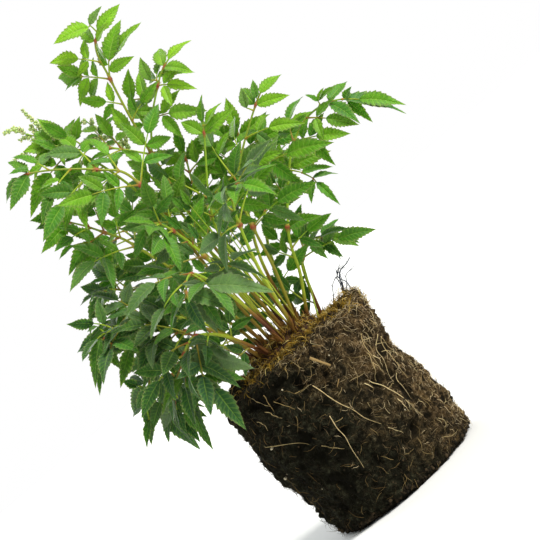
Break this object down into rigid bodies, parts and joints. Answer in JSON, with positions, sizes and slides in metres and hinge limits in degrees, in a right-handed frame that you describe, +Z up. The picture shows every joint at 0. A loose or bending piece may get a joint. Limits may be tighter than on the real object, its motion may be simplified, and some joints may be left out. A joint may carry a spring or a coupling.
{
  "type": "astilbe plant",
  "caption": "Young garden astilbe with divided, toothed leaves and budding panicles, standing on its bare round root ball.",
  "frame": {"origin": "centre of the flat underside of the root ball", "axes": "+Z up through the root ball and the crown; -Y is the side the picture shows, +X to its right"},
  "size_m": [0.359, 0.3119, 0.488],
  "materials": {
    "soil": "matte",
    "root": "matte",
    "crown": "matte",
    "leaf": "satin",
    "bud": "matte"
  },
  "bodies": {
    "root": {"root_ball": "soil", "crown": "crown", "frond_01": "leaf", "frond_02": "leaf", "frond_03": "leaf", "frond_04": "leaf", "frond_05": "leaf", "frond_06": "leaf", "frond_07": "leaf", "frond_08": "leaf", "frond_09": "leaf", "frond_10": "leaf", "frond_11": "leaf", "frond_12": "leaf", "frond_13": "leaf", "frond_14": "leaf", "frond_15": "leaf", "frond_16": "leaf", "frond_17": "leaf", "frond_18": "leaf", "frond_19": "leaf", "frond_20": "leaf", "frond_21": "leaf", "panicle_1": "bud", "panicle_2": "bud", "old_rootlets": "root"}
  },
  "joints": []
}
